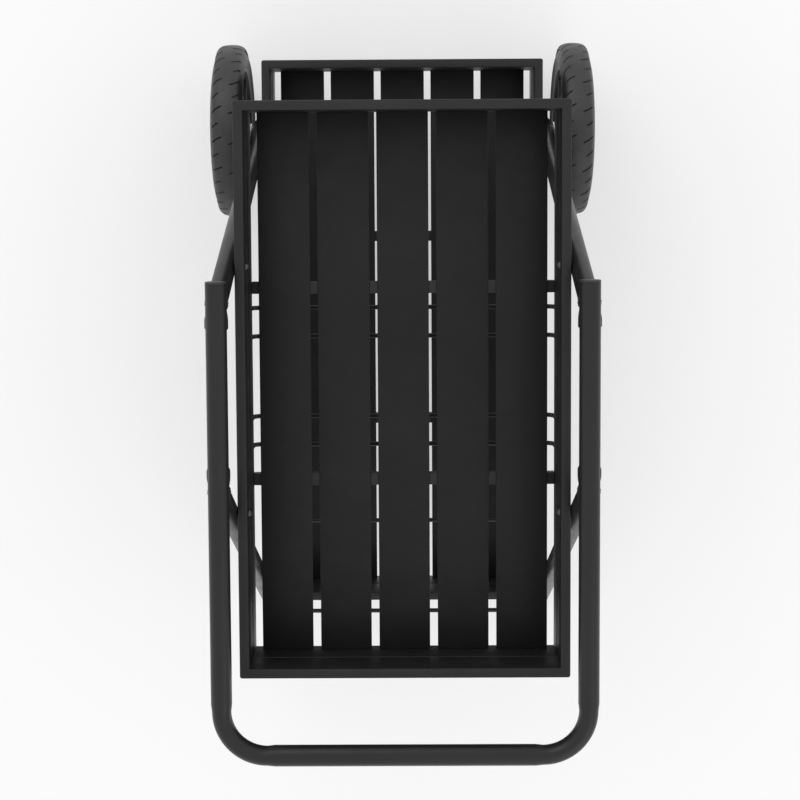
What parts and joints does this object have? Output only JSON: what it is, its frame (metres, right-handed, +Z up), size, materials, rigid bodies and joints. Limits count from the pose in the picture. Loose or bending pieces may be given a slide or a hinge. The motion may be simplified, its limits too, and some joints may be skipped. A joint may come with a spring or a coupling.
{
  "type": "wheeled firewood rack",
  "caption": "Black wheeled rack with a slatted tray above a longer slatted shelf, leaning tube legs, a pair of wheels and a U-shaped handle.",
  "frame": {"origin": "on the floor, midway along the rack and midway between the wheels", "axes": "+Z up, +Y towards the wheels, X along the wheels' axis"},
  "size_m": [0.564, 0.9168, 0.7745],
  "materials": {
    "tube_paint": "satin black powder coat",
    "frame_paint": "matte black powder coat",
    "slat_paint": "matte black powder coat",
    "tyre_rubber": "matte black rubber",
    "foot_rubber": "matte black rubber",
    "wheel_plastic": "moulded black plastic, fine texture",
    "plug_plastic": "moulded black plastic",
    "zinc_plate": "bright zinc plating",
    "black_zinc": "black zinc plating",
    "bush_bronze": "oiled sintered bronze"
  },
  "bodies": {
    "rack": {"handle_tube": "tube_paint", "handle_end_plugs": "plug_plastic", "rear_saddles": "tube_paint", "front_saddles": "tube_paint", "saddle_screws": "black_zinc", "left_rear_leg": "tube_paint", "right_rear_leg": "tube_paint", "left_front_leg": "tube_paint", "right_front_leg": "tube_paint", "rear_leg_plugs": "plug_plastic", "front_feet": "foot_rubber", "tray_upper_side_rails": "frame_paint", "tray_upper_end_rails": "frame_paint", "tray_lower_side_rails": "frame_paint", "tray_lower_end_rails": "frame_paint", "tray_slat_1": "slat_paint", "tray_slat_2": "slat_paint", "tray_slat_3": "slat_paint", "tray_slat_4": "slat_paint", "tray_slat_5": "slat_paint", "tray_crossbars": "frame_paint", "tray_bolts": "black_zinc", "tray_rivet_nuts": "zinc_plate", "shelf_upper_side_rails": "frame_paint", "shelf_upper_end_rails": "frame_paint", "shelf_lower_side_rails": "frame_paint", "shelf_lower_end_rails": "frame_paint", "shelf_slat_1": "slat_paint", "shelf_slat_2": "slat_paint", "shelf_slat_3": "slat_paint", "shelf_slat_4": "slat_paint", "shelf_slat_5": "slat_paint", "shelf_crossbars": "frame_paint", "shelf_bolts": "black_zinc", "shelf_rivet_nuts": "zinc_plate", "hanging_rod_1": "tube_paint", "hanging_rod_2": "tube_paint", "hanging_rod_3": "tube_paint", "hanging_rod_4": "tube_paint", "guard_ring": "tube_paint", "guard_ring_posts": "tube_paint", "left_axle_bolt": "zinc_plate", "left_axle_spacer": "zinc_plate", "left_axle_nut": "zinc_plate", "right_axle_bolt": "zinc_plate", "right_axle_spacer": "zinc_plate", "right_axle_nut": "zinc_plate"},
    "left_wheel": {"left_tyre": "tyre_rubber", "left_rim": "wheel_plastic", "left_hub_bushes": "bush_bronze", "left_hub_cap": "wheel_plastic"},
    "right_wheel": {"right_tyre": "tyre_rubber", "right_rim": "wheel_plastic", "right_hub_bushes": "bush_bronze", "right_hub_cap": "wheel_plastic"}
  },
  "joints": [
    {"name": "left_wheel_spin", "type": "hinge", "parent": "rack", "child": "left_wheel", "pos_m": [-0.258, 0.328, 0.13], "axis": [1, 0, 0], "continuous": true},
    {"name": "right_wheel_spin", "type": "hinge", "parent": "rack", "child": "right_wheel", "pos_m": [0.258, 0.328, 0.13], "axis": [1, 0, 0], "continuous": true}
  ]
}
